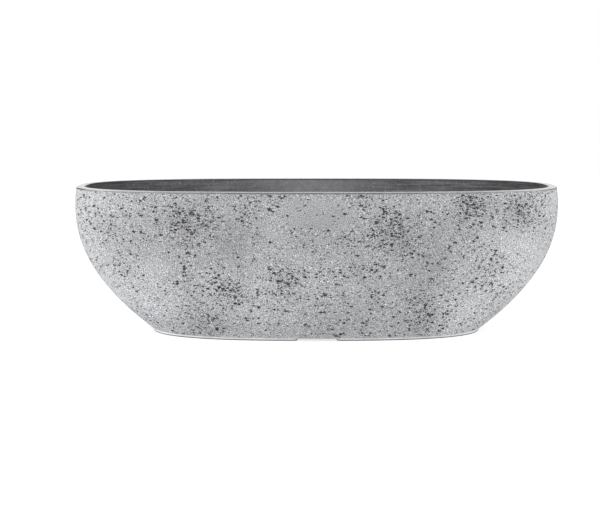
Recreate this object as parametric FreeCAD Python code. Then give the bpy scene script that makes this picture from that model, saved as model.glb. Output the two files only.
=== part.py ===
"""Oval bowl planter: a cast fibre-cement shell with a dark waterproof lining, on two foot strips.

Two drain sleeves pass through the floor, each closed by a rubber plug that lifts out upwards.
Millimetres. +X runs along the planter, +Z is up. The origin is on the ground, under the middle.
"""
import FreeCAD
import Part
import os
from math import cos, pi, sin, sqrt

# Shell: overall sizes, over the widest line of the bowl
length = 600.0
width = 240.0
height = 180.0
belly_drop = 25.0
base_length = 411.0
base_width = 190.0
flank_power = 2.12
plan_power = 2.7
wall = 10.0
floor = 12.0
corner_round = 12.0
base_edge_round = 1.5

# Shell: rim, with the fine shadow line that runs round it just under its top edge
rim_round = 0.5
rim_line_drop = 1.0
rim_line_height = 1.2
rim_line_depth = 0.6

# Lining: brushed on inside the shell, up to the rim
lining = 1.5
bond_gap = 0.2

# Foot strips: one under each end, open at the front and back middle
foot_height = 3.0
foot_width = 14.0
foot_setback = 0.8
foot_gap = 47.0
foot_end_round = 5.0
foot_edge_round = 0.6

# Drain sleeves: flanged tubes in the floor
drain_spacing = 290.0
drain_bore = 26.0
sleeve_wall = 3.0
sleeve_lip = 7.0
sleeve_play = 0.2
lining_play = 0.5
sleeve_mouth_bevel = 0.8

# Drain plugs: tapered rubber bungs with two sealing beads, a flange and a grip tab
plug_play = 0.3
plug_ground_gap = 2.0
plug_taper = 0.8
bead_count = 2
bead_height = 0.6
bead_half_length = 1.3
bead_pitch = 4.5
bead_drop = 3.5
plug_lip = 6.0
plug_flange = 3.0
plug_flange_round = 1.0
tab_width = 22.0
tab_thickness = 6.0
tab_height = 14.0
tab_round = 1.5

# How the curved faces are drawn
plan_points = 32
section_count = 8
cut_over = 5.0

# Worked out from the sizes above
floor_top = foot_height + floor
belly_height = height - belly_drop
rim_line_top = height - rim_line_drop
sleeve_radius = drain_bore / 2 + sleeve_wall
sleeve_flange_radius = sleeve_radius + sleeve_lip
sleeve_top = floor_top + lining
plug_crest = drain_bore / 2 - plug_play
plug_shank = plug_crest - bead_height
plug_flange_radius = drain_bore / 2 + plug_lip
plug_flange_top = sleeve_top + plug_flange


def vec(x, y, z):
    return FreeCAD.Vector(x, y, z)


def flank_half(size, base, z):
    """Half of the bowl's length or width at height z: widest at the belly, drawn in to the base."""
    reach = abs(belly_height - z) / (belly_height - foot_height)
    return size / 2 - (size - base) / 2 * reach ** flank_power


def flank_slope(size, base, z):
    """How fast that half size grows with height."""
    depth = belly_height - foot_height
    reach = abs(belly_height - z) / depth
    rate = (size - base) / 2 * flank_power * reach ** (flank_power - 1) / depth
    return rate if z < belly_height else -rate


def inset_half(size, base, z, inset):
    """Half size at height z of a face that lies inside the flank, inset measured square to it."""
    return flank_half(size, base, z) - inset * sqrt(1 + flank_slope(size, base, z) ** 2)


def oval(half_length, half_width, z):
    """Closed rounded-oval outline (a superellipse) at height z, in a back and a front half."""
    turns = [2 * pi * i / plan_points for i in range(plan_points + 1)]
    points = []
    for turn in turns[:-1]:
        spread = (abs(cos(turn)) ** plan_power + abs(sin(turn)) ** plan_power) ** (-1 / plan_power)
        points.append(vec(half_length * spread * cos(turn), half_width * spread * sin(turn), z))
    curve = Part.BSplineCurve()
    curve.interpolate(Points=points, Parameters=turns, PeriodicFlag=True)
    return Part.Wire([curve.toShape(0, pi), curve.toShape(pi, 2 * pi)])


def bowl(inset, low, high):
    """Solid bounded by the flank, set in by inset, between two heights."""
    outlines = []
    for i in range(section_count):
        z = low + (high - low) * i / (section_count - 1)
        half_length = inset_half(length, base_length, z, inset)
        half_width = inset_half(width, base_width, z, inset)
        outlines.append(oval(half_length, half_width, z))
    return Part.makeLoft(outlines, True, False)


def edges_at(shape, z):
    """Edges of a shape that lie wholly at height z."""
    near = 1e-4
    return [e for e in shape.Edges if abs(e.BoundBox.ZMin - z) < near and abs(e.BoundBox.ZMax - z) < near]


def outermost(edges):
    return max(edges, key=lambda e: e.BoundBox.XLength)


def hollow(inset, low, high, corner):
    """Bowl-shaped space with a rounded edge between its flat bottom and its flank."""
    space = bowl(inset, low, high)
    return space.makeFillet(corner, edges_at(space, low))


def rim_line():
    """Ring that cuts the fine shadow line round the outside, just under the rim."""
    low = rim_line_top - rim_line_height
    slab_corner = vec(-length / 2 - cut_over, -width / 2 - cut_over, low)
    slab = Part.makeBox(length + 2 * cut_over, width + 2 * cut_over, rim_line_height, slab_corner)
    return slab.cut(bowl(rim_line_depth, low - cut_over, rim_line_top + cut_over))


def planter_shell():
    shell = bowl(0, foot_height, height)
    shell = shell.makeFillet(rim_round, edges_at(shell, height))
    shell = shell.makeFillet(base_edge_round, edges_at(shell, foot_height))
    shell = shell.cut(hollow(wall, floor_top, height + cut_over, corner_round))
    shell = shell.cut(rim_line())
    for x in drain_places:
        shell = shell.cut(Part.makeCylinder(sleeve_radius + sleeve_play, floor_top, vec(x, 0, 0)))
    return shell


def inner_lining():
    skin = hollow(wall + bond_gap, floor_top, height, corner_round)
    inside = wall + bond_gap + lining
    skin = skin.cut(hollow(inside, floor_top + lining, height + cut_over, corner_round - lining))
    hole = sleeve_flange_radius + lining_play
    for x in drain_places:
        skin = skin.cut(Part.makeCylinder(hole, sleeve_top + cut_over, vec(x, 0, 0)))
    return skin


def foot_ring():
    """Closed strip under the edge of the base, before it is parted at the front and back."""
    outside = Part.Face(oval(base_length / 2 - foot_setback, base_width / 2 - foot_setback, 0))
    inset = foot_setback + foot_width
    inside = Part.Face(oval(base_length / 2 - inset, base_width / 2 - inset, 0))
    return outside.cut(inside).extrude(vec(0, 0, foot_height))


def foot_strip():
    """Left half of the foot ring, with rounded ends."""
    reach = base_length / 2 - foot_gap / 2
    keep = Part.makeBox(reach, base_width, foot_height, vec(-base_length / 2, -base_width / 2, 0))
    strip = foot_ring().common(keep).Solids[0]
    near = 1e-3
    upright = [e for e in strip.Edges if e.BoundBox.ZLength > foot_height - near]
    ends = [e for e in upright if abs(e.CenterOfMass.x + foot_gap / 2) < near]
    strip = strip.makeFillet(foot_end_round, ends)
    return strip.makeFillet(foot_edge_round, edges_at(strip, 0))


def turned(points, x):
    """Solid turned about the upright line at x from an outline of (radius, height) points."""
    corners = [vec(x + radius, 0, z) for radius, z in points]
    outline = Part.makePolygon(corners + corners[:1])
    return Part.Face(outline).revolve(vec(x, 0, 0), vec(0, 0, 1), 360)


def drain_sleeve(x):
    bore = drain_bore / 2
    return turned([
        (bore, foot_height),
        (sleeve_radius, foot_height),
        (sleeve_radius, floor_top),
        (sleeve_flange_radius, floor_top),
        (sleeve_flange_radius, sleeve_top),
        (bore + sleeve_mouth_bevel, sleeve_top),
        (bore, sleeve_top - sleeve_mouth_bevel),
    ], x)


def drain_plug(x):
    plug = turned([
        (0, plug_ground_gap),
        (plug_shank - plug_taper, plug_ground_gap),
        (plug_shank, sleeve_top),
        (plug_flange_radius, sleeve_top),
        (plug_flange_radius, plug_flange_top),
        (0, plug_flange_top),
    ], x)
    plug = plug.makeFillet(plug_flange_round, [outermost(edges_at(plug, plug_flange_top))])
    for i in range(bead_count):
        z = sleeve_top - bead_drop - i * bead_pitch
        plug = plug.fuse(turned([
            (0, z - bead_half_length),
            (plug_shank - plug_taper, z - bead_half_length),
            (plug_crest, z),
            (plug_shank - plug_taper, z + bead_half_length),
            (0, z + bead_half_length),
        ], x))
    tab_corner = vec(x - tab_width / 2, -tab_thickness / 2, plug_flange_top - plug_flange / 2)
    tab = Part.makeBox(tab_width, tab_thickness, plug_flange / 2 + tab_height, tab_corner)
    tab_top = plug_flange_top + tab_height
    shoulders = [e for e in edges_at(tab, tab_top) if e.BoundBox.YLength > tab_thickness / 2]
    tab = tab.makeFillet(min(tab_width / 2, tab_height) - tab_round, shoulders)
    faces = [f for f in tab.Faces if f.BoundBox.YLength < tab_round]
    arris = [e for f in faces for e in f.Edges if e.BoundBox.ZMax > plug_flange_top]
    return plug.fuse(tab.makeFillet(tab_round, arris)).removeSplitter()


drain_places = [-drain_spacing / 2, drain_spacing / 2]
left_strip = foot_strip()
nodes = {
    "planter_shell": planter_shell(),
    "inner_lining": inner_lining(),
    "foot_strip_left": left_strip,
    "foot_strip_right": left_strip.mirror(vec(0, 0, 0), vec(1, 0, 0)),
    "drain_sleeve_left": drain_sleeve(drain_places[0]),
    "drain_sleeve_right": drain_sleeve(drain_places[1]),
    "drain_plug_left": drain_plug(drain_places[0]),
    "drain_plug_right": drain_plug(drain_places[1]),
}

os.makedirs("parts", exist_ok=True)
for name, shape in nodes.items():
    shape.exportStep("parts/" + name + ".step")
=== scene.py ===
import bpy
from math import cos, pi, sin, sqrt
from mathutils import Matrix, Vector


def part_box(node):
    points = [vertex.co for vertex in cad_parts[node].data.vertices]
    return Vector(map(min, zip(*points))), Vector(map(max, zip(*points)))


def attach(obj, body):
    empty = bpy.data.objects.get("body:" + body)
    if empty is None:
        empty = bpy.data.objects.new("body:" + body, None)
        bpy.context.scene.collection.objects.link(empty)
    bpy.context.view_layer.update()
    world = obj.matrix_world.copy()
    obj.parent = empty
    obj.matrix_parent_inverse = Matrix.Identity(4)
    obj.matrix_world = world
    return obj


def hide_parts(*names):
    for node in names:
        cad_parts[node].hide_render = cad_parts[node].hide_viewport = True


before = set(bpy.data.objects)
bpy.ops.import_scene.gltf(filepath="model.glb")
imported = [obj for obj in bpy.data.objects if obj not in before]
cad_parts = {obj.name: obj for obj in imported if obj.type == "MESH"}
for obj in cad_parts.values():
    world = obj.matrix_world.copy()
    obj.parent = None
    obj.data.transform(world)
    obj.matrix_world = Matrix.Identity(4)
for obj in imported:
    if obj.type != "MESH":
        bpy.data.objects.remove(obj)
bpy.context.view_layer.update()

# Planter shell
# One casting of fibre-cement, poured round a core: pale grey, matt, and full of air pits that
# gather in patches. Its rim is sanded flat, with a fine line from the mould just under its edge.
mm = 0.001
shell_low, shell_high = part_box("planter_shell")
length = shell_high.x - shell_low.x
width = shell_high.y - shell_low.y
rim_height = shell_high.z
foot_height = shell_low.z
belly_height = rim_height - 25 * mm
base_length = 411 * mm
base_width = 190 * mm
flank_power = 2.12
plan_power = 2.7
wall = 10 * mm
floor_height = foot_height + 12 * mm
corner_round = 12 * mm
base_edge_round = 1.5 * mm
base_edge_steps = ((1.2 * mm, 0), (0.35 * mm, 0.15 * mm))
rim_round = 0.5 * mm
rim_inner_bevel = 0.3 * mm
rim_line_top = rim_height - 1 * mm
rim_line_low = rim_line_top - 1.2 * mm
rim_line_depth = 0.6 * mm
rim_line_slope = 0.2 * mm
sleeve_low, sleeve_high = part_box("drain_sleeve_right")
drain_place = sleeve_low.lerp(sleeve_high, 0.5).x
drain_hole = 16.2 * mm
drill_length = 80 * mm
drill_sides = 96
shell_sides = 400
flank_step = 3.4 * mm
hidden_step = 9 * mm
round_steps = 4
corner_steps = 8


def flank_half(size, base, z, inset=0):
    """Half of the bowl's length or width at height z, on a face set in by inset, square to the flank."""
    depth = belly_height - foot_height
    reach = abs(belly_height - z) / depth
    slope = (size - base) / 2 * flank_power * reach ** (flank_power - 1) / depth
    return size / 2 - (size - base) / 2 * reach ** flank_power - inset * sqrt(1 + slope ** 2)


def flank_ring(z, inset=0):
    """Half length, half width and height of an outline of the bowl."""
    return flank_half(length, base_length, z, inset), flank_half(width, base_width, z, inset), z


def hollow_half(size, base, z, inset, low, corner):
    """Half size at height z of a hollow with a flat bottom at low and a rounded edge round that bottom."""
    edge = flank_half(size, base, low, inset)
    slope = (flank_half(size, base, low + corner, inset) - edge) / corner
    lean = sqrt(1 + slope ** 2)
    if z > low + corner * (1 - slope / lean):
        return flank_half(size, base, z, inset)
    centre = edge + corner * (slope - lean)
    return centre + sqrt(max(0, corner ** 2 - (low + corner - z) ** 2))


def hollow_ring(z, inset, low, corner):
    """Half length, half width and height of an outline of such a hollow."""
    half_length = hollow_half(length, base_length, z, inset, low, corner)
    return half_length, hollow_half(width, base_width, z, inset, low, corner), z


def hollow_rings(inset, low, corner, step):
    """Outlines down the inside of a hollow: even steps down its wall, then round its bottom edge."""
    top = low + corner
    count = round((rim_height - top) / step)
    heights = [rim_height + (top - rim_height) * i / count for i in range(1, count + 1)]
    turns = [pi / 2 * i / corner_steps for i in range(corner_steps - 1, -1, -1)]
    heights += [low + corner * (1 - cos(turn)) for turn in turns]
    return [hollow_ring(z, inset, low, corner) for z in heights]


def start_outline(name, sides, ring, power):
    """A circle drawn out to a rounded oval of the given half length, half width and height."""
    bpy.ops.object.select_all(action="DESELECT")
    bpy.ops.mesh.primitive_circle_add(vertices=sides, radius=1)
    piece = bpy.context.object
    piece.name = name
    piece.data.name = name
    for v in piece.data.vertices:
        spread = (abs(v.co.x) ** power + abs(v.co.y) ** power) ** (-1 / power)
        v.co = (ring[0] * spread * v.co.x, ring[1] * spread * v.co.y, ring[2])
    bpy.context.tool_settings.mesh_select_mode = (True, False, False)
    bpy.ops.object.mode_set(mode="EDIT")
    bpy.ops.mesh.select_all(action="SELECT")
    return piece


def grow(rings):
    """Extrudes the selected outline through the rings that follow it, and closes both ends."""
    for old, new in zip(rings, rings[1:]):
        bpy.ops.mesh.extrude_edges_move(TRANSFORM_OT_translate={"value": (0, 0, new[2] - old[2])})
        bpy.ops.transform.resize(
            value=(new[0] / old[0], new[1] / old[1], 1), center_override=(0, 0, new[2]))
    bpy.ops.mesh.edge_face_add()
    bpy.ops.mesh.select_all(action="DESELECT")
    bpy.ops.mesh.select_non_manifold(
        use_wire=False, use_multi_face=False, use_non_contiguous=False, use_verts=False)
    bpy.ops.mesh.edge_face_add()
    bpy.ops.mesh.select_all(action="SELECT")
    bpy.ops.mesh.normals_make_consistent(inside=False)
    bpy.ops.object.mode_set(mode="OBJECT")


def drill_drains(piece, radius):
    """Cuts the two round drain holes straight down through a piece."""
    for x in (-drain_place, drain_place):
        bpy.ops.object.select_all(action="DESELECT")
        bpy.ops.mesh.primitive_cylinder_add(
            vertices=drill_sides, radius=radius, depth=drill_length, location=(x, 0, 0))
        cutter = bpy.context.object
        bpy.context.view_layer.objects.active = piece
        hole = piece.modifiers.new("drain hole", "BOOLEAN")
        hole.object = cutter
        hole.operation = "DIFFERENCE"
        bpy.ops.object.modifier_apply(modifier=hole.name)
        bpy.data.objects.remove(cutter)


# Outlines from the edge of the base, up the flank, over the rim and down the inside, which the lining hides
shell_rings = []
for inset, rise in base_edge_steps:
    half_length, half_width, z = flank_ring(foot_height, inset)
    shell_rings.append((half_length, half_width, z + rise))
z = foot_height + base_edge_round / 2
while z < rim_line_low - flank_step / 2:
    lower, upper = flank_ring(z), flank_ring(z + flank_step)
    shell_rings.append(lower)
    run = (upper[0] - lower[0] + upper[1] - lower[1]) / 2
    z += flank_step / sqrt(1 + (run / flank_step) ** 2)
shell_rings += [
    flank_ring(rim_line_low),
    flank_ring(rim_line_low + rim_line_slope, rim_line_depth),
    flank_ring(rim_line_top - rim_line_slope, rim_line_depth),
    flank_ring(rim_line_top),
]
for i in range(round_steps + 1):
    turn = pi / 2 * i / round_steps
    half_length, half_width, z = flank_ring(rim_height, rim_round * (1 - cos(turn)))
    shell_rings.append((half_length, half_width, z - rim_round * (1 - sin(turn))))
shell_rings.append(flank_ring(rim_height, wall / 2))
shell_rings.append(flank_ring(rim_height, wall - rim_inner_bevel))
half_length, half_width, z = flank_ring(rim_height, wall)
shell_rings.append((half_length, half_width, z - rim_inner_bevel))
shell_rings += hollow_rings(wall, floor_height, corner_round, hidden_step)

shell = start_outline("fibre_cement_shell", shell_sides, shell_rings[0], plan_power)
grow(shell_rings)
drill_drains(shell, drain_hole)

# Air pits: each cell of a random packing may hold one, more often where a slow cloud is strong. Their
# outlines are ragged, and a little wider than they are tall. Each kind has its cell, smallest radius and
# spread of radii in mm, and the share of cells with a pit where the cloud is weak and where it is strong.
# The sizes of the cloud and of the ragged outline, and how far that is shaken, are in mm too.
deep_pits = (4.6, 1.3, 1.6, 0.0, 0.9)
pits = (2.7, 0.9, 0.95, 0.06, 0.8)
specks = (1.8, 0.5, 0.4, 0.17, 0.38)
pit_cloud = 48.0
pit_cloud_reach = 0.2
weak_cloud = 0.38
strong_cloud = 0.8
pit_chance_fade = 0.12
pit_ragged = 2.1
pit_shake = 3.6
pit_squat = 1.8

# The cloud is stronger still in a few dense patches on the front and back, and weaker in bare ones. Each
# has its middle along the planter, its height, its reach in mm and its strength.
pit_patches = (
    (-265, 138, 30, 0.15),
    (-154, 144, 38, 0.34),
    (-104, 62, 26, 0.34),
    (-38, 78, 30, 0.26),
    (88, 132, 38, 0.3),
    (185, 164, 34, 0.28),
    (238, 155, 32, 0.3),
    (132, 30, 32, 0.2),
    (-140, 20, 34, 0.22),
    (208, 86, 26, 0.2),
    (-195, 105, 40, -0.14),
    (-60, 132, 26, -0.15),
    (0, 172, 36, -0.15),
    (18, 130, 26, -0.12),
    (148, 128, 30, -0.14),
    (238, 112, 28, -0.16),
)


def add(tree, kind, inputs=None, **settings):
    """Adds a node with its settings and links, and returns it."""
    new = tree.nodes.new(kind)
    for name, value in settings.items():
        setattr(new, name, value)
    for name, value in (inputs or {}).items():
        if isinstance(value, bpy.types.NodeSocket):
            tree.links.new(value, new.inputs[name])
        else:
            new.inputs[name].default_value = value
    return new


def in_patches(tree, spot, value, patches):
    """Adds to a value in each of some round patches, most in its middle."""
    upright = add(tree, "ShaderNodeVectorMath", {0: spot, 1: (1, 0, 1)}, operation="MULTIPLY").outputs[0]
    for along, up, reach, strength in patches:
        away = add(tree, "ShaderNodeVectorMath", {0: upright, 1: (along, 0, up)}, operation="DISTANCE")
        patch = add(tree, "ShaderNodeMapRange", {
            "Value": away.outputs["Value"], "From Max": reach,
            "To Min": strength, "To Max": 0.0}).outputs[0]
        value = add(tree, "ShaderNodeMath", {0: value, 1: patch}).outputs[0]
    return value


def cloudiness(tree, spot):
    """Noise that says where pits gather, for a place in mm."""
    cloud = add(tree, "ShaderNodeTexNoise", {
        "Vector": spot, "Scale": 1 / pit_cloud, "Detail": 3.0, "Roughness": 0.6}).outputs[0]
    cloud = add(tree, "ShaderNodeMapRange", {
        "Value": cloud, "To Min": 0.5 - pit_cloud_reach, "To Max": 0.5 + pit_cloud_reach}).outputs[0]
    return in_patches(tree, spot, cloud, pit_patches)


def pitting(tree, place, kinds):
    """Nodes that say how far inside an air pit a place lies, in mm (below zero outside)."""
    spot = add(tree, "ShaderNodeVectorMath", {0: place, "Scale": 1 / mm}, operation="SCALE").outputs[0]
    cloud = cloudiness(tree, spot)
    shake = add(tree, "ShaderNodeTexNoise", {"Vector": spot, "Scale": 1 / pit_ragged, "Detail": 2.0})
    shake = add(tree, "ShaderNodeVectorMath", {
        0: shake.outputs["Color"], 1: (0.5, 0.5, 0.5)}, operation="SUBTRACT")
    shake = add(tree, "ShaderNodeVectorMath", {0: shake.outputs[0], "Scale": pit_shake}, operation="SCALE")
    shaken = add(tree, "ShaderNodeVectorMath", {0: spot, 1: shake.outputs[0]})
    shaken = add(tree, "ShaderNodeVectorMath", {
        0: shaken.outputs[0], 1: (1, 1, pit_squat)}, operation="MULTIPLY").outputs[0]
    reaches = []
    for cell, smallest, spread, low, high in kinds:
        chance = add(tree, "ShaderNodeMapRange", {
            "Value": cloud, "From Min": weak_cloud, "From Max": strong_cloud,
            "To Min": low, "To Max": high})
        cells = add(tree, "ShaderNodeTexVoronoi", {"Vector": shaken, "Scale": 1 / cell})
        lot = add(tree, "ShaderNodeSeparateXYZ", {0: cells.outputs["Color"]})
        odds = add(tree, "ShaderNodeMath", {
            0: chance.outputs[0], 1: lot.outputs[1]}, operation="SUBTRACT")
        there = add(tree, "ShaderNodeMapRange", {"Value": odds.outputs[0], "From Max": pit_chance_fade})
        radius = add(tree, "ShaderNodeMath", {
            0: lot.outputs[0], 1: lot.outputs[0]}, operation="MULTIPLY")
        radius = add(tree, "ShaderNodeMath", {
            0: radius.outputs[0], 1: spread, 2: smallest}, operation="MULTIPLY_ADD")
        radius = add(tree, "ShaderNodeMath", {
            0: radius.outputs[0], 1: there.outputs[0]}, operation="MULTIPLY")
        reach = add(tree, "ShaderNodeMath", {
            0: cells.outputs["Distance"], 1: -cell, 2: radius.outputs[0]}, operation="MULTIPLY_ADD")
        reaches.append(reach.outputs[0])
    deepest = reaches[0]
    for reach in reaches[1:]:
        deepest = add(tree, "ShaderNodeMath", {0: deepest, 1: reach}, operation="MAXIMUM").outputs[0]
    return deepest


def new_geometry_tree(name):
    """An empty node group that takes a mesh in and gives one out, and its input."""
    tree = bpy.data.node_groups.new(name, "GeometryNodeTree")
    tree.interface.new_socket("Geometry", in_out="INPUT", socket_type="NodeSocketGeometry")
    tree.interface.new_socket("Geometry", in_out="OUTPUT", socket_type="NodeSocketGeometry")
    return tree, add(tree, "NodeGroupInput").outputs[0]


def apply_tree(piece, tree):
    """Runs a node group on a piece and keeps the mesh that comes out."""
    bpy.context.view_layer.objects.active = piece
    step = piece.modifiers.new(tree.name, "NODES")
    step.node_group = tree
    bpy.ops.object.modifier_apply(modifier=step.name)


def on_flank(face):
    """True for the faces of the shell's outside, under the line below its rim."""
    c, n = face.center, face.normal
    return foot_height + base_edge_round < c.z < rim_line_low and c.x * n.x + c.y * n.y > 0


def pick_faces(piece, wanted):
    """Goes into edit mode with only the wanted faces selected."""
    bpy.context.tool_settings.mesh_select_mode = (False, False, True)
    bpy.ops.object.mode_set(mode="EDIT")
    bpy.ops.mesh.select_all(action="DESELECT")
    bpy.ops.object.mode_set(mode="OBJECT")
    for face in piece.data.polygons:
        face.select = wanted(face)
    bpy.ops.object.mode_set(mode="EDIT")


finder, mesh_in = new_geometry_tree("find air pits")
place = add(finder, "GeometryNodeInputPosition").outputs[0]
marked = add(finder, "GeometryNodeStoreNamedAttribute", {
    "Geometry": mesh_in, "Name": "pit_reach", "Value": pitting(finder, place, (deep_pits,))})
add(finder, "NodeGroupOutput", {0: marked.outputs[0]})

# The mesh is made finer twice where there are deep pits, each time from so many mm inside one
finer_inside = (0.2, 0.6)
for least in finer_inside:
    apply_tree(shell, finder)
    reach = [d.value for d in shell.data.attributes["pit_reach"].data]
    pick_faces(shell, lambda face: on_flank(face) and max(reach[v] for v in face.vertices) > least)
    bpy.ops.mesh.subdivide(number_cuts=1)
    bpy.ops.object.mode_set(mode="OBJECT")
    shell.data.attributes.remove(shell.data.attributes["pit_reach"])

# The flank's own points are marked, and only they are pressed in
flank_points = {v for face in shell.data.polygons if on_flank(face) for v in face.vertices}
flank_group = shell.vertex_groups.new(name="flank")
flank_group.add(list(flank_points), 1.0, "REPLACE")
pit_slope = (0.3, 1.4)
pit_depth = 0.9 * mm
presser, mesh_in = new_geometry_tree("press air pits")
place = add(presser, "GeometryNodeInputPosition").outputs[0]
flank = add(presser, "GeometryNodeInputNamedAttribute", {"Name": "flank"}, data_type="FLOAT").outputs[0]
depth = add(presser, "ShaderNodeMapRange", {
    "Value": pitting(presser, place, (deep_pits,)),
    "From Min": pit_slope[0], "From Max": pit_slope[1], "To Max": -pit_depth})
depth = add(presser, "ShaderNodeMath", {0: depth.outputs[0], 1: flank}, operation="MULTIPLY")
outward = add(presser, "GeometryNodeInputNormal").outputs[0]
offset = add(presser, "ShaderNodeVectorMath", {0: outward, "Scale": depth.outputs[0]}, operation="SCALE")
pressed = add(presser, "GeometryNodeSetPosition", {"Geometry": mesh_in, "Offset": offset.outputs[0]})
add(presser, "NodeGroupOutput", {0: pressed.outputs[0]})
apply_tree(shell, presser)
shell.vertex_groups.clear()

# Faces next to a finer place have a point in the middle of an edge, so they are cut into even triangles.
# The flat faces with more points, such as the base, stay whole.
most_points = 12
pick_faces(shell, lambda face: 4 < len(face.vertices) < most_points)
bpy.ops.mesh.quads_convert_to_tris(quad_method="BEAUTY", ngon_method="BEAUTY")
bpy.ops.object.mode_set(mode="OBJECT")
bpy.ops.object.shade_smooth_by_angle(angle=pi / 3)


def linear(hex_colour):
    """An sRGB hex colour as linear red, green, blue and alpha."""
    parts = [int(hex_colour[i:i + 2], 16) / 255 for i in (1, 3, 5)]
    return [p / 12.92 if p <= 0.04045 else ((p + 0.055) / 1.055) ** 2.4 for p in parts] + [1]


def start_material(name):
    """A new material, its nodes and shader, and the place on the piece in metres and in mm."""
    material = bpy.data.materials.new(name)
    material.use_nodes = True
    tree = material.node_tree
    place = add(tree, "ShaderNodeTexCoord").outputs["Object"]
    spot = add(tree, "ShaderNodeVectorMath", {0: place, "Scale": 1 / mm}, operation="SCALE").outputs[0]
    return material, tree, tree.nodes["Principled BSDF"], place, spot


# Fibre-cement, cast and left bare: light and dark sand grains, dark pits, and grey clouds where the pits
# gather. The sanded rim is paler, painted light pales it more toward the ends and pales the edge of the
# base, and painted shade darkens the line under the rim.
cement, tree, shader, place, spot = start_material("cast fibre-cement")
apart = add(tree, "ShaderNodeSeparateXYZ", {0: place})
along = add(tree, "ShaderNodeMath", {0: apart.outputs[0]}, operation="ABSOLUTE").outputs[0]
across = add(tree, "ShaderNodeMath", {0: apart.outputs[1]}, operation="ABSOLUTE").outputs[0]
height = apart.outputs[2]

# Sand is about 0.4 mm across, too fine to show, so its grains are drawn twice as coarse
grain_size = 0.85
grain = add(tree, "ShaderNodeTexNoise", {
    "Vector": spot, "Scale": 1 / grain_size, "Detail": 1.0}).outputs[0]
sand = add(tree, "ShaderNodeValToRGB", {"Fac": grain})
for at, tint in ((0.27, "#46474A"), (0.42, "#919295"), (0.58, "#B7B8BB"), (0.71, "#FFFFFF")):
    stop = sand.color_ramp.elements.new(at)
    stop.color = linear(tint)
sand.color_ramp.elements.remove(sand.color_ramp.elements[0])
sand.color_ramp.elements.remove(sand.color_ramp.elements[-1])

# Painted light from below: paler clouds low on the flank and darker ones higher up, with the same four
# values as pit_patches
painted_light_patches = (
    (215, 55, 85, 0.2),
    (172, 20, 55, 0.32),
    (232, 84, 50, 0.14),
    (-205, 40, 70, 0.3),
    (-65, 60, 70, 0.22),
    (-118, 66, 36, 0.22),
    (8, 78, 48, 0.14),
    (-95, 118, 50, -0.24),
    (-200, 118, 60, -0.11),
    (5, 132, 65, -0.14),
    (140, 124, 50, -0.15),
    (124, 78, 42, -0.14),
)
cloud = add(tree, "ShaderNodeMapRange", {
    "Value": cloudiness(tree, spot), "From Min": 0.3, "From Max": 0.8,
    "To Min": 1.1, "To Max": 0.86}).outputs[0]
cloud = in_patches(tree, spot, cloud, painted_light_patches)
face_colour = add(tree, "ShaderNodeVectorMath", {
    0: sand.outputs["Color"], "Scale": cloud}, operation="SCALE")

# The pits of all sizes are dark inside, and end at the line under the rim. The darker body shows in them,
# and the dark also paints the shade of the hollows, which only the deep pits have as shape
pit_fade = 0.5 * mm
pit = add(tree, "ShaderNodeMapRange", {
    "Value": pitting(tree, place, (deep_pits, pits, specks)),
    "From Min": -0.1, "From Max": 0.35}).outputs[0]
below_rim = add(tree, "ShaderNodeMapRange", {
    "Value": height, "From Min": rim_line_low - pit_fade, "From Max": rim_line_low,
    "To Min": 1.0, "To Max": 0.0}).outputs[0]
pit = add(tree, "ShaderNodeMath", {0: pit, 1: below_rim}, operation="MULTIPLY").outputs[0]
pitted = add(tree, "ShaderNodeMix", {
    "Factor": pit, 6: face_colour.outputs[0], 7: linear("#363739")}, data_type="RGBA")

# Paler above that line, where the rim is sanded, and along the edge of the base, which is painted light
# from the floor; painted light also makes both paler toward the planter's ends. The places are shares of
# the shell's height.
lit_base_share = 0.011
lit_base_end_share = 0.016
fade_share = 0.001
rim_share = (rim_line_top - foot_height) / (rim_height - foot_height)
line_share = rim_share - fade_share
lit_ends_from = 180 * mm
rise = add(tree, "ShaderNodeMapRange", {"Value": height, "From Min": foot_height, "From Max": rim_height})
paler = add(tree, "ShaderNodeValToRGB", {"Fac": rise.outputs[0]})
for at, share in ((0.0, 0.7), (lit_base_share, 0.7), (lit_base_end_share, 0.0), (line_share, 0.0), (rim_share, 1.0)):
    stop = paler.color_ramp.elements.new(at)
    stop.color = (share, share, share, 1)
paler.color_ramp.elements.remove(paler.color_ramp.elements[0])
paler.color_ramp.elements.remove(paler.color_ramp.elements[-1])
# Painted light: a quarter of the paling in the middle, all of it at the ends
sanded_and_lit = add(tree, "ShaderNodeMapRange", {
    "Value": along, "From Min": lit_ends_from, "From Max": length / 2,
    "To Min": 0.25, "To Max": 1.0}).outputs[0]
sanded_and_lit = add(tree, "ShaderNodeMath", {
    0: paler.outputs["Color"], 1: sanded_and_lit}, operation="MULTIPLY").outputs[0]
sanded_and_lit_edges = add(tree, "ShaderNodeMix", {
    "Factor": sanded_and_lit, 6: pitted.outputs[2], 7: linear("#E4E5E6")}, data_type="RGBA")

# Painted shade on the edge of the base, in the gaps between the foot strips
gap_shade_low = foot_height + 0.3 * mm
gap_shade_high = foot_height + 1.2 * mm
gap_shade_half = 22.5 * mm
gap_shade_from = base_width / 2 - 6 * mm
gap_shade_full = base_width / 2 - 1 * mm
gap_shade = add(tree, "ShaderNodeMapRange", {
    "Value": height, "From Min": gap_shade_low, "From Max": gap_shade_high,
    "To Min": 0.8, "To Max": 0.0}).outputs[0]
in_gap = add(tree, "ShaderNodeMath", {0: along, 1: gap_shade_half}, operation="LESS_THAN").outputs[0]
at_edge = add(tree, "ShaderNodeMapRange", {
    "Value": across, "From Min": gap_shade_from, "From Max": gap_shade_full}).outputs[0]
for limit in (in_gap, at_edge):
    gap_shade = add(tree, "ShaderNodeMath", {0: gap_shade, 1: limit}, operation="MULTIPLY").outputs[0]
gap_shaded = add(tree, "ShaderNodeMix", {
    "Factor": gap_shade, 6: sanded_and_lit_edges.outputs[2], 7: linear("#57585B")}, data_type="RGBA")
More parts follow.
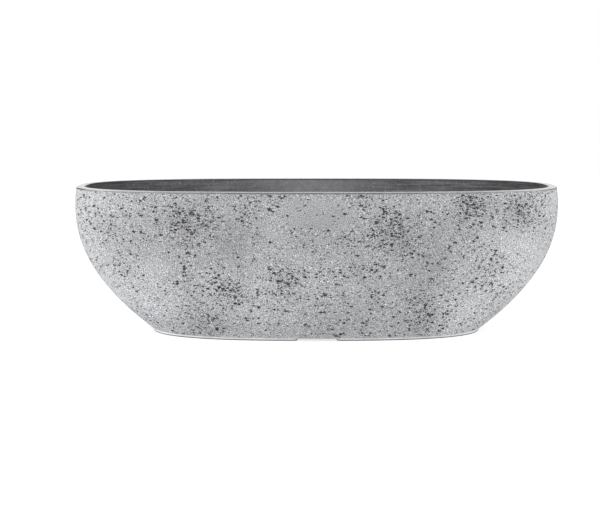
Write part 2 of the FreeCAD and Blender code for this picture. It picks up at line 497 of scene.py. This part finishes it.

# Painted shade in the line and on the edge above it: cloudy, thinner away from the middle and thick round
# the ends
line_shade_top = rim_height - 0.15 * mm
line_shade_low = rim_line_low + 0.3 * mm
line_shade_cloud = 30.0
line_shade_thins = (80 * mm, 200 * mm)
line_shade_returns = (250 * mm, 280 * mm)
dust_and_shade = add(tree, "ShaderNodeTexNoise", {"Vector": spot, "Scale": 1 / line_shade_cloud, "Detail": 3.0}).outputs[0]
dust_and_shade = add(tree, "ShaderNodeMapRange", {
    "Value": dust_and_shade, "From Min": 0.3, "From Max": 0.7, "To Min": 0.4, "To Max": 0.8}).outputs[0]
thins = add(tree, "ShaderNodeMapRange", {
    "Value": along, "From Min": line_shade_thins[0], "From Max": line_shade_thins[1],
    "To Min": 1.0, "To Max": 0.5}).outputs[0]
returns = add(tree, "ShaderNodeMapRange", {
    "Value": along, "From Min": line_shade_returns[0], "From Max": line_shade_returns[1], "To Max": 1.3}).outputs[0]
amount = add(tree, "ShaderNodeMath", {0: thins, 1: returns}, operation="MAXIMUM").outputs[0]
in_line = add(tree, "ShaderNodeMath", {
    0: height, 1: (line_shade_top + line_shade_low) / 2, 2: (line_shade_top - line_shade_low) / 2}, operation="COMPARE").outputs[0]
for limit in (amount, in_line):
    dust_and_shade = add(tree, "ShaderNodeMath", {0: dust_and_shade, 1: limit}, operation="MULTIPLY").outputs[0]
dusty_and_shaded = add(tree, "ShaderNodeMix", {
    "Factor": dust_and_shade, 6: gap_shaded.outputs[2], 7: linear("#3C3D40")}, data_type="RGBA")
tree.links.new(dusty_and_shaded.outputs[2], shader.inputs["Base Color"])
bump = add(tree, "ShaderNodeBump", {"Height": grain, "Strength": 0.4, "Distance": 0.5 * mm})
tree.links.new(bump.outputs[0], shader.inputs["Normal"])
shader.inputs["Roughness"].default_value = 0.92
shader.inputs["IOR"].default_value = 1.5
shell.data.materials.append(cement)
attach(shell, "planter")
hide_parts("planter_shell")

# Inner lining
# A dark waterproof coat, brushed on inside the shell from the floor up to the rim. The brush went round
# the bowl, so it left level streaks, and cement dust has dried into it in places.
lining = 1.5 * mm
bond_gap = 0.2 * mm
lining_hole = 23.5 * mm
lining_sides = 240
lining_step = 4 * mm
lining_back = wall + bond_gap
lining_inset = lining_back + lining
lining_floor = floor_height + lining
lining_corner = corner_round - lining
lining_rings = hollow_rings(lining_back, floor_height, corner_round, hidden_step)[::-1]
lining_rings.append(hollow_ring(rim_height, lining_back, floor_height, corner_round))
lining_rings.append(hollow_ring(rim_height, lining_inset, lining_floor, lining_corner))
lining_rings += hollow_rings(lining_inset, lining_floor, lining_corner, lining_step)
lining_piece = start_outline("waterproof_lining", lining_sides, lining_rings[0], plan_power)
grow(lining_rings)
drill_drains(lining_piece, lining_hole)
bpy.ops.object.shade_smooth_by_angle(angle=pi / 5)

# A brushed coat: matt dark grey, streaked level on the wall and lengthwise on the floor, and mottled. It is
# paler in the middle of the back wall, and painted shade darkens it at the ends and along its top edge.
coat, tree, shader, place, spot = start_material("brushed waterproof coat")
apart = add(tree, "ShaderNodeSeparateXYZ", {0: place})
along = add(tree, "ShaderNodeMath", {0: apart.outputs[0]}, operation="ABSOLUTE").outputs[0]
height = apart.outputs[2]

# Streaks of the brush, with their sizes along, across and up in mm
wall_streak = (50, 25, 2.5)
floor_streak = (50, 10 / 3, 50)
streaks = []
for sizes in (wall_streak, floor_streak):
    drawn = add(tree, "ShaderNodeVectorMath", {
        0: spot, 1: [1 / size for size in sizes]}, operation="MULTIPLY").outputs[0]
    streaks.append(add(tree, "ShaderNodeTexNoise", {
        "Vector": drawn, "Scale": 1.0, "Detail": 4.0}).outputs[0])
up = add(tree, "ShaderNodeSeparateXYZ", {0: add(tree, "ShaderNodeTexCoord").outputs["Normal"]}).outputs[2]
level = add(tree, "ShaderNodeMapRange", {"Value": up, "From Min": 0.6, "From Max": 0.95}).outputs[0]
streak = add(tree, "ShaderNodeMix", {"Factor": level, 2: streaks[0], 3: streaks[1]}).outputs[0]
tone = add(tree, "ShaderNodeValToRGB", {"Fac": streak})
for stop, at, tint in zip(tone.color_ramp.elements, (0.36, 0.66), ("#57575A", "#868689")):
    stop.position = at
    stop.color = linear(tint)

# The paler place, held in thin, with its middle and its reach each way in mm
pale_middle = (-5, 105, 150)
pale_reach = (110, 60, 90)
thin = add(tree, "ShaderNodeVectorMath", {0: spot, 1: pale_middle}, operation="SUBTRACT")
thin = add(tree, "ShaderNodeVectorMath", {
    0: thin.outputs[0], 1: [1 / reach for reach in pale_reach]}, operation="MULTIPLY")
thin = add(tree, "ShaderNodeVectorMath", {0: thin.outputs[0]}, operation="LENGTH").outputs["Value"]
thin = add(tree, "ShaderNodeMath", {0: thin, 1: streak}, operation="ADD").outputs[0]
thin = add(tree, "ShaderNodeMapRange", {
    "Value": thin, "From Min": 0.6, "From Max": 1.5, "To Min": 0.9, "To Max": 0.0}).outputs[0]
thinned = add(tree, "ShaderNodeMix", {
    "Factor": thin, 6: tone.outputs["Color"], 7: linear("#9A9A9D")}, data_type="RGBA")

# Mottling and specks of cement dust, with their sizes in mm
mottle_size = 9.0
speck_size = 2.2
mottle = add(tree, "ShaderNodeTexNoise", {
    "Vector": spot, "Scale": 1 / mottle_size, "Detail": 4.0, "Roughness": 0.65}).outputs[0]
mottle = add(tree, "ShaderNodeMapRange", {
    "Value": mottle, "From Min": 0.3, "From Max": 0.7, "To Min": 0.8, "To Max": 1.2}).outputs[0]
mottled = add(tree, "ShaderNodeVectorMath", {0: thinned.outputs[2], "Scale": mottle}, operation="SCALE")
dust_and_shade = add(tree, "ShaderNodeTexNoise", {"Vector": spot, "Scale": 1 / speck_size, "Detail": 2.0}).outputs[0]
dust_and_shade = add(tree, "ShaderNodeMath", {0: thin, 1: 0.05, 2: dust_and_shade}, operation="MULTIPLY_ADD").outputs[0]
dust_and_shade = add(tree, "ShaderNodeMapRange", {
    "Value": dust_and_shade, "From Min": 0.6, "From Max": 0.75, "To Max": 0.7}).outputs[0]
dusty_and_shaded = add(tree, "ShaderNodeMix", {
    "Factor": dust_and_shade, 6: mottled.outputs[0], 7: linear("#BCBCBE")}, data_type="RGBA")

# Painted shade at the ends and along the top edge
end_shade_from = 170 * mm
end_shade_full = 280 * mm
edge_from = rim_height - 2.2 * mm
edge_full = rim_height - 1.2 * mm
end_shade = add(tree, "ShaderNodeMapRange", {
    "Value": along, "From Min": end_shade_from, "From Max": end_shade_full,
    "To Min": 1.0, "To Max": 0.45}).outputs[0]
end_shaded = add(tree, "ShaderNodeVectorMath", {0: dusty_and_shaded.outputs[2], "Scale": end_shade}, operation="SCALE")
edge = add(tree, "ShaderNodeMapRange", {
    "Value": height, "From Min": edge_from, "From Max": edge_full, "To Max": 0.8}).outputs[0]
edged = add(tree, "ShaderNodeMix", {
    "Factor": edge, 6: end_shaded.outputs[0], 7: linear("#3A3A3C")}, data_type="RGBA")
tree.links.new(edged.outputs[2], shader.inputs["Base Color"])
bump = add(tree, "ShaderNodeBump", {"Height": streak, "Strength": 0.5, "Distance": 0.6 * mm})
tree.links.new(bump.outputs[0], shader.inputs["Normal"])
shader.inputs["Roughness"].default_value = 0.7
lining_piece.data.materials.append(coat)
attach(lining_piece, "planter")
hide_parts("inner_lining")

# Foot strips
# Two thin strips of pale rubber, moulded flat and glued under the edge of the base. They part at the
# front and at the back, so that water can run out from under the planter.


def mould_texture(tree, shader, spot, size, detail, depth):
    """The fine texture that a mould leaves, with its size in mm and its depth in metres.

    The real one is about 0.1 mm, too fine to show, so size is coarser.
    """
    texture = add(tree, "ShaderNodeTexNoise", {"Vector": spot, "Scale": 1 / size, "Detail": detail})
    bump = add(tree, "ShaderNodeBump", {"Height": texture.outputs[0], "Strength": 0.3, "Distance": depth})
    tree.links.new(bump.outputs[0], shader.inputs["Normal"])


# Pale moulded rubber: nearly even, with a dull sheen, scuffed in clouds. Painted contact shadow darkens its
# lower edge, less so the underside that stands on it.
scuff_size = 14.0
contact_shade_full = 0.7 * mm
contact_shade_end = 2 * mm
strip_rubber, tree, shader, place, spot = start_material("pale moulded rubber")
scuff = add(tree, "ShaderNodeTexNoise", {"Vector": spot, "Scale": 1 / scuff_size, "Detail": 4.0}).outputs[0]
tone = add(tree, "ShaderNodeValToRGB", {"Fac": scuff})
for stop, at, tint in zip(tone.color_ramp.elements, (0.35, 0.65), ("#D8D8DB", "#E8E8EA")):
    stop.position = at
    stop.color = linear(tint)
height = add(tree, "ShaderNodeSeparateXYZ", {0: place}).outputs[2]
contact_shade = add(tree, "ShaderNodeMapRange", {
    "Value": height, "From Min": contact_shade_full, "From Max": contact_shade_end, "To Min": 1.0, "To Max": 0.0}).outputs[0]
up = add(tree, "ShaderNodeSeparateXYZ", {0: add(tree, "ShaderNodeTexCoord").outputs["Normal"]}).outputs[2]
side_on = add(tree, "ShaderNodeMapRange", {
    "Value": up, "From Min": -0.95, "From Max": -0.6, "To Min": 0.35, "To Max": 1.0}).outputs[0]
contact_shade = add(tree, "ShaderNodeMath", {0: contact_shade, 1: side_on}, operation="MULTIPLY").outputs[0]
contact_shaded = add(tree, "ShaderNodeMix", {
    "Factor": contact_shade, 6: tone.outputs["Color"], 7: linear("#3E3E42")}, data_type="RGBA")
tree.links.new(contact_shaded.outputs[2], shader.inputs["Base Color"])
shader.inputs["Roughness"].default_value = 0.6
mould_texture(tree, shader, spot, size=0.6, detail=2.0, depth=0.1 * mm)
for side in ("left", "right"):
    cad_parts["foot_strip_" + side].data.materials[0] = strip_rubber

# Drain sleeves
# Sleeves of moulded polypropylene, bedded in the floor with a flange on top of it. The plastic has the
# fine texture of its mould, and chalk from hard water has dried on it in spots.

# Polypropylene is waxy: dark grey with a soft gloss, which the pale spots of chalk make dull
chalk_size = 5.0
sleeve_plastic, tree, shader, place, spot = start_material("moulded polypropylene")
chalk = add(tree, "ShaderNodeTexNoise", {"Vector": spot, "Scale": 1 / chalk_size, "Detail": 5.0}).outputs[0]
tone = add(tree, "ShaderNodeValToRGB", {"Fac": chalk})
for stop, at, tint in zip(tone.color_ramp.elements, (0.52, 0.75), ("#434347", "#85858A")):
    stop.position = at
    stop.color = linear(tint)
tree.links.new(tone.outputs["Color"], shader.inputs["Base Color"])
gloss = add(tree, "ShaderNodeMapRange", {
    "Value": chalk, "From Min": 0.4, "From Max": 0.7, "To Min": 0.38, "To Max": 0.65}).outputs[0]
tree.links.new(gloss, shader.inputs["Roughness"])
mould_texture(tree, shader, spot, size=0.4, detail=1.0, depth=0.08 * mm)
for side in ("left", "right"):
    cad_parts["drain_sleeve_" + side].data.materials[0] = sleeve_plastic

# Drain plugs
# Bungs of moulded black rubber: a tapered shank with two sealing beads that squeeze into the sleeve, a
# flange that stops on it, and a ribbed tab to pull them out by. Soil dust has settled on top.
plug_low = 2 * mm
plug_edge = 0.7 * mm
plug_edge_middle = 0.2 * mm
sleeve_top = lining_floor
shank = 12.1 * mm
shank_taper = 0.8 * mm
shank_root = 0.4 * mm
shank_root_drop = 0.3 * mm
bead_radius = 12.7 * mm
bead_half = 1.3 * mm
bead_steps = 4
bead_heights = (sleeve_top - 8 * mm, sleeve_top - 3.5 * mm)
flange = 19 * mm
flange_top = sleeve_top + 3 * mm
flange_low_round = 0.6 * mm
flange_round = 1 * mm
flange_round_middle = 0.3 * mm
flange_flat = 4 * mm
tab_half = 11 * mm
tab_round = 9.5 * mm
tab_arris = 1.5 * mm
tab_top = flange_top + 14 * mm
tab_low = flange_top - 1 * mm
tab_thin = 2.6 * mm
tab_edge_power = 8
tab_edge_least = 0.1
tab_crest = (0.6, 0.1)
tab_steps = 36
rib_low = flange_top + 0.4 * mm
rib_height = 0.4 * mm
rib_pitch = 2.4 * mm
plug_sides = 96
plug_power = 2
tab_sides = 64
tab_power = 4


def shank_radius(z):
    """Radius of the tapered shank at height z."""
    return shank - shank_taper * (sleeve_top - z) / (sleeve_top - plug_low)


def bead_rings(middle):
    """Radius and height of outlines over one sealing bead, from below to above it."""
    rings = []
    for i in range(-bead_steps, bead_steps + 1):
        z = middle + bead_half * i / bead_steps
        rings.append((shank_radius(z) + (bead_radius - shank_radius(z)) * cos(pi / 2 * i / bead_steps), z))
    return rings


def tab_rings():
    """Outlines of the pull tab: ribbed on both faces, round over the top."""
    shoulder = tab_top - tab_round
    rings = [(tab_half, tab_thin, tab_low)]
    for i in range(tab_steps + 1):
        z = rib_low + (tab_top - rib_low) * sin(pi / 2 * i / tab_steps)
        over = max(0, z - shoulder)
        half = tab_half - tab_round + sqrt(max(tab_arris ** 2, tab_round ** 2 - over ** 2))
        thin = tab_thin + rib_height * max(0, sin(2 * pi * (z - rib_low) / rib_pitch))
        edge = sqrt(max(tab_edge_least, 1 - (over / tab_round) ** tab_edge_power))
        rings.append((half, thin * edge, z))
    rings.append((half * tab_crest[0], tab_thin * tab_crest[1], tab_top))
    return rings


# Rubber filled with carbon black: near black with a dull sheen, greyer and duller where dust lies on it
plug_dust_size = 4.0
rubber, tree, shader, place, spot = start_material("moulded black rubber")
up = add(tree, "ShaderNodeSeparateXYZ", {0: add(tree, "ShaderNodeTexCoord").outputs["Normal"]}).outputs[2]
dust_and_shade = add(tree, "ShaderNodeTexNoise", {
    "Vector": spot, "Scale": 1 / plug_dust_size, "Detail": 5.0}).outputs[0]
dust_and_shade = add(tree, "ShaderNodeMath", {0: up, 1: 0.25, 2: dust_and_shade}, operation="MULTIPLY_ADD").outputs[0]
tone = add(tree, "ShaderNodeValToRGB", {"Fac": dust_and_shade})
for stop, at, tint in zip(tone.color_ramp.elements, (0.45, 0.95), ("#2C2C2E", "#6A6968")):
    stop.position = at
    stop.color = linear(tint)
tree.links.new(tone.outputs["Color"], shader.inputs["Base Color"])
gloss = add(tree, "ShaderNodeMapRange", {
    "Value": dust_and_shade, "From Min": 0.3, "From Max": 0.9, "To Min": 0.55, "To Max": 0.85}).outputs[0]
tree.links.new(gloss, shader.inputs["Roughness"])
mould_texture(tree, shader, spot, size=0.5, detail=2.0, depth=0.1 * mm)

# Radius and height of each outline, from the bottom of the shank to the top of the flange
plug_outline = [
    (shank_radius(plug_low) - plug_edge, plug_low),
    (shank_radius(plug_low) - plug_edge_middle, plug_low + plug_edge_middle),
    (shank_radius(plug_low), plug_low + plug_edge),
]
for middle in bead_heights:
    plug_outline += bead_rings(middle)
plug_outline += [
    (shank, sleeve_top - shank_root_drop),
    (shank + shank_root, sleeve_top),
    (flange - flange_low_round, sleeve_top),
    (flange, sleeve_top + flange_low_round),
    (flange, flange_top - flange_round),
    (flange - flange_round_middle, flange_top - flange_round_middle),
    (flange - flange_round, flange_top),
    (flange - flange_flat, flange_top),
]
plug_rings = [(radius, radius, z) for radius, z in plug_outline]
pull_rings = tab_rings()
for side, x in (("left", -drain_place), ("right", drain_place)):
    tab = start_outline("pull_tab", tab_sides, pull_rings[0], tab_power)
    grow(pull_rings)
    plug = start_outline("drain_bung_" + side, plug_sides, plug_rings[0], plug_power)
    grow(plug_rings)
    joined = plug.modifiers.new("pull tab", "BOOLEAN")
    joined.object = tab
    joined.operation = "UNION"
    bpy.ops.object.modifier_apply(modifier=joined.name)
    bpy.data.objects.remove(tab)
    bpy.ops.object.mode_set(mode="EDIT")
    bpy.ops.mesh.select_all(action="SELECT")
    bpy.ops.transform.translate(value=(x, 0, 0))
    bpy.ops.object.mode_set(mode="OBJECT")
    bpy.ops.object.shade_smooth_by_angle(angle=pi / 3)
    plug.data.materials.append(rubber)
    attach(plug, "drain_plug_" + side)
    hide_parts("drain_plug_" + side)

# Floor, light and camera
# A floor of white paper that keeps a soft shadow, a white room, and large soft lights all round. The paper
# glows only where it is looked at, so that it shows white and throws no more light on the planter.
floor_size = 40
floor_drop = 0.1 * mm
paper_glow = 0.68
bpy.ops.object.select_all(action="DESELECT")
bpy.ops.mesh.primitive_plane_add(size=floor_size, location=(0, 0, -floor_drop))
ground = bpy.context.object
ground.name = "ground"


def looked_at(tree):
    """1 where the eye sees a surface straight, in a reflection or through glass, and 0 for its light."""
    rays = add(tree, "ShaderNodeLightPath")
    seen = rays.outputs["Is Camera Ray"]
    for kind in ("Is Glossy Ray", "Is Transmission Ray"):
        seen = add(tree, "ShaderNodeMath", {0: seen, 1: rays.outputs[kind]}, operation="MAXIMUM").outputs[0]
    return seen


paper = bpy.data.materials.new("white paper")
paper.use_nodes = True
tree = paper.node_tree
tree.nodes.remove(tree.nodes["Principled BSDF"])
seen = looked_at(tree)
white = add(tree, "ShaderNodeMapRange", {"Value": seen, "To Min": 0.85, "To Max": 0.5})
plain = add(tree, "ShaderNodeBsdfDiffuse", {"Color": white.outputs[0]})
strength = add(tree, "ShaderNodeMath", {0: seen, 1: paper_glow}, operation="MULTIPLY")
glow = add(tree, "ShaderNodeEmission", {"Color": (1, 1, 1, 1), "Strength": strength.outputs[0]})
lit = add(tree, "ShaderNodeAddShader", {0: plain.outputs[0], 1: glow.outputs[0]})
tree.links.new(lit.outputs[0], tree.nodes["Material Output"].inputs[0])
ground.data.materials.append(paper)

room = bpy.data.worlds.new("white room")
bpy.context.scene.world = room
room.use_nodes = True
tree = room.node_tree
strength = add(tree, "ShaderNodeMapRange", {"Value": looked_at(tree), "To Min": 0.5, "To Max": 1.0})
tree.links.new(strength.outputs[0], tree.nodes["Background"].inputs["Strength"])
tree.nodes["Background"].inputs["Color"].default_value = (1, 1, 1, 1)

# Each soft box has its place, what it is turned to, its size in metres and its power in watts
for name, stand, aim, size, power in (
        ("left soft box", (-1.5, -0.1, 0.3), (-0.2, 0, 0.1), 0.5, 13),
        ("right soft box", (1.5, -0.1, 0.3), (0.2, 0, 0.1), 0.5, 9),
        ("front soft box", (0, -1.8, 0.2), (0, 0, 0.1), 0.4, 6.2),
        ("back soft box", (0, 2.4, 0.8), (0, 0, 0.1), 0.8, 24)):
    bpy.ops.object.light_add(type="AREA", location=stand)
    lamp = bpy.context.object
    lamp.name = name
    lamp.data.size = size
    lamp.data.energy = power
    lamp.visible_camera = False
    lamp.rotation_euler = (lamp.location - Vector(aim)).to_track_quat("Z", "Y").to_euler()

bpy.ops.object.light_add(type="SUN", rotation=(pi / 4, 0, 0))
overhead = bpy.context.object
overhead.name = "overhead light"
overhead.data.energy = 0.75
overhead.data.angle = 0.9

# The camera stands 1.6 m in front and looks slightly down. Its focal length is in pixels of the picture.
picture_width = 600
focal_pixels = 1279.7
camera_place = (-20.5 * mm, -1.6, 0.3014)
camera_dip = 0.132
bpy.ops.object.camera_add(location=camera_place, rotation=(pi / 2 - camera_dip, 0, 0))
camera = bpy.context.object
camera.data.sensor_width = 36
camera.data.lens = focal_pixels / picture_width * camera.data.sensor_width
bpy.context.scene.camera = camera
bpy.context.scene.view_settings.view_transform = "Standard"
